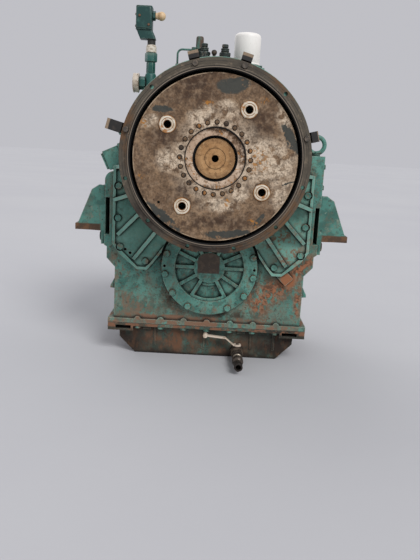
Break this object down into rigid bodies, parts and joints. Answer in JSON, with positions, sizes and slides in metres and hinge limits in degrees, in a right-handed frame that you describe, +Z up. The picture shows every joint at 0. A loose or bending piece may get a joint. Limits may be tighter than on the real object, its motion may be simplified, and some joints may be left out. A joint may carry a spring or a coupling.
{
  "type": "marine gearbox",
  "caption": "Marine reversing and reduction gearbox with an engine bell housing, flexible drive plate, side mounting brackets, oil sump and an offset output flange.",
  "frame": {"origin": "centre of the engine flange face, on the input shaft axis", "axes": "+Y aft along the shafts away from the engine, +Z up, +X to the right seen from the engine"},
  "size_m": [0.904, 0.6915, 1.131],
  "materials": {
    "green_paint": "worn teal-green enamel over cast iron",
    "bare_iron": "bare cast iron with light rust",
    "drive_plate_steel": "stained and rusted plate steel",
    "bush_zinc": "pale zinc plating, scuffed",
    "bronze_cap": "dull tan metal",
    "machined_steel": "machined steel, oiled",
    "gear_steel": "ground gear steel",
    "filter_white": "off-white enamel",
    "gland_plastic": "aged cream nylon",
    "sender_zinc": "zinc plated can",
    "clip_black": "black paint, worn at the ends",
    "gasket": "dark joint paper",
    "valve_metal": "tarnished plated steel",
    "lever_steel": "pale plated steel"
  },
  "bodies": {
    "casing_group": {"bell_housing": "green_paint", "bell_housing_bolts": "green_paint", "main_casing": "green_paint", "oil_sump": "green_paint", "sump_gasket": "gasket", "sump_bolts": "green_paint", "front_output_cover": "green_paint", "front_cover_bolts": "green_paint", "left_mounting_bracket": "green_paint", "right_mounting_bracket": "green_paint", "bracket_bolts": "green_paint", "input_seal_carrier": "machined_steel", "input_bearings": "machined_steel", "reverse_shaft_bearings": "machined_steel", "reverse_shaft_covers": "green_paint", "output_bearings": "machined_steel", "output_seal_carrier": "green_paint", "oil_pump": "green_paint", "control_valve_block": "green_paint", "valve_fittings": "valve_metal", "breather_cap": "green_paint", "pilot_pipe": "green_paint", "filter_head": "green_paint", "oil_filter": "filter_white", "switch_column": "green_paint", "pressure_switch": "green_paint", "cable_gland": "gland_plastic", "pressure_sender": "sender_zinc", "lifting_eye": "green_paint", "flange_clips": "clip_black", "clip_bolts": "bare_iron", "left_valve_box": "green_paint", "right_side_cover": "green_paint", "drain_valve": "valve_metal", "drain_hose_coupling": "valve_metal", "cover_screws": "green_paint"},
    "input_group": {"drive_plate": "drive_plate_steel", "drive_plate_bushes": "bush_zinc", "drive_plate_rivets": "drive_plate_steel", "coupling_hub": "drive_plate_steel", "shaft_end_cap": "bronze_cap", "input_shaft": "machined_steel", "input_transfer_gear": "gear_steel", "forward_clutch_drum": "machined_steel", "forward_steel_plates": "machined_steel"},
    "forward_piston_group": {"forward_clutch_piston": "machined_steel"},
    "forward_pinion_group": {"forward_pinion": "gear_steel", "forward_friction_plates": "bronze_cap"},
    "reverse_group": {"reverse_shaft": "machined_steel", "reverse_transfer_gear": "gear_steel", "reverse_clutch_drum": "machined_steel", "reverse_steel_plates": "machined_steel"},
    "reverse_piston_group": {"reverse_clutch_piston": "machined_steel"},
    "reverse_pinion_group": {"reverse_pinion": "gear_steel", "reverse_friction_plates": "bronze_cap"},
    "output_group": {"output_shaft": "machined_steel", "bull_gear": "gear_steel", "output_flange": "bare_iron", "output_shaft_nut": "machined_steel"},
    "drain_lever_group": {"drain_lever": "lever_steel"}
  },
  "joints": [
    {"name": "input_spin", "type": "hinge", "parent": "casing_group", "child": "input_group", "pos_m": [0, 0, 0], "axis": [0, 1, 0], "continuous": true},
    {"name": "reverse_shaft_spin", "type": "hinge", "parent": "casing_group", "child": "reverse_group", "pos_m": [0.18311, 0, -0.0507], "axis": [0, 1, 0], "continuous": true},
    {"name": "output_spin", "type": "hinge", "parent": "casing_group", "child": "output_group", "pos_m": [0, 0, -0.356], "axis": [0, 1, 0], "continuous": true},
    {"name": "forward_pinion_spin", "type": "hinge", "parent": "casing_group", "child": "forward_pinion_group", "pos_m": [0, 0, 0], "axis": [0, 1, 0], "continuous": true},
    {"name": "reverse_pinion_spin", "type": "hinge", "parent": "casing_group", "child": "reverse_pinion_group", "pos_m": [0.18311, 0, -0.0507], "axis": [0, 1, 0], "continuous": true},
    {"name": "forward_piston_slide", "type": "slide", "parent": "input_group", "child": "forward_piston_group", "axis": [0, 1, 0], "range_m": [0, 0.003], "stiffness_N_per_m": 5000},
    {"name": "reverse_piston_slide", "type": "slide", "parent": "reverse_group", "child": "reverse_piston_group", "axis": [0, 1, 0], "range_m": [0, 0.003], "stiffness_N_per_m": 5000},
    {"name": "drain_lever_turn", "type": "hinge", "parent": "casing_group", "child": "drain_lever_group", "pos_m": [0.108, 0.203, -0.6], "axis": [0, 0, 1], "range_deg": [0, 90]}
  ],
  "couplings": [
    {"joint": "reverse_shaft_spin", "follows": "input_spin", "ratio": -1},
    {"joint": "forward_pinion_spin", "follows": "output_spin", "ratio": -3.2381},
    {"joint": "reverse_pinion_spin", "follows": "output_spin", "ratio": -3.2381}
  ]
}
